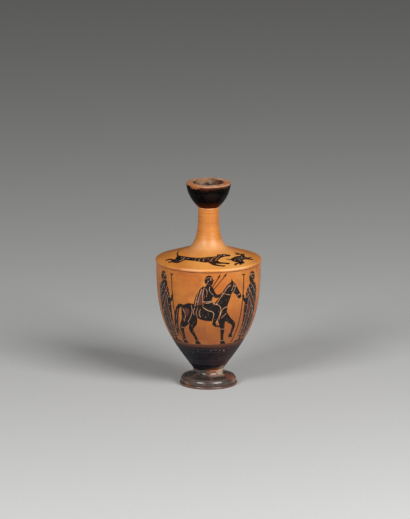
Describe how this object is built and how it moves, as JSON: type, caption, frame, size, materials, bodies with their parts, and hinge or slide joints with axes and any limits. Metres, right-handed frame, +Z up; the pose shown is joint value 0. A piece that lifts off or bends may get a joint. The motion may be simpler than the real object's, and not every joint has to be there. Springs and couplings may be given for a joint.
{
  "type": "lekythos",
  "caption": "Shoulder lekythos: tall fired-clay oil flask with a cup mouth, narrow neck, strap handle, tapering body and disc foot, for keeping and pouring oil.",
  "frame": {"origin": "on the ground under the middle of the foot", "axes": "+Z up along the vessel's axis, -Y the painted front, +Y the handle"},
  "size_m": [0.0924, 0.0924, 0.18],
  "materials": {
    "clay": "orange fired clay, lightly burnished, with black painted figures",
    "black_gloss": "black gloss slip, worn to brown at the edges",
    "luting_slip": "matt fired slip"
  },
  "bodies": {
    "root": {"foot": "black_gloss", "foot_luting": "luting_slip", "body": "clay", "shoulder_luting": "luting_slip", "shoulder": "clay", "neck_luting": "luting_slip", "neck": "clay", "mouth_luting": "luting_slip", "mouth": "black_gloss", "handle": "black_gloss", "handle_neck_luting": "luting_slip", "handle_shoulder_luting": "luting_slip"}
  },
  "joints": []
}
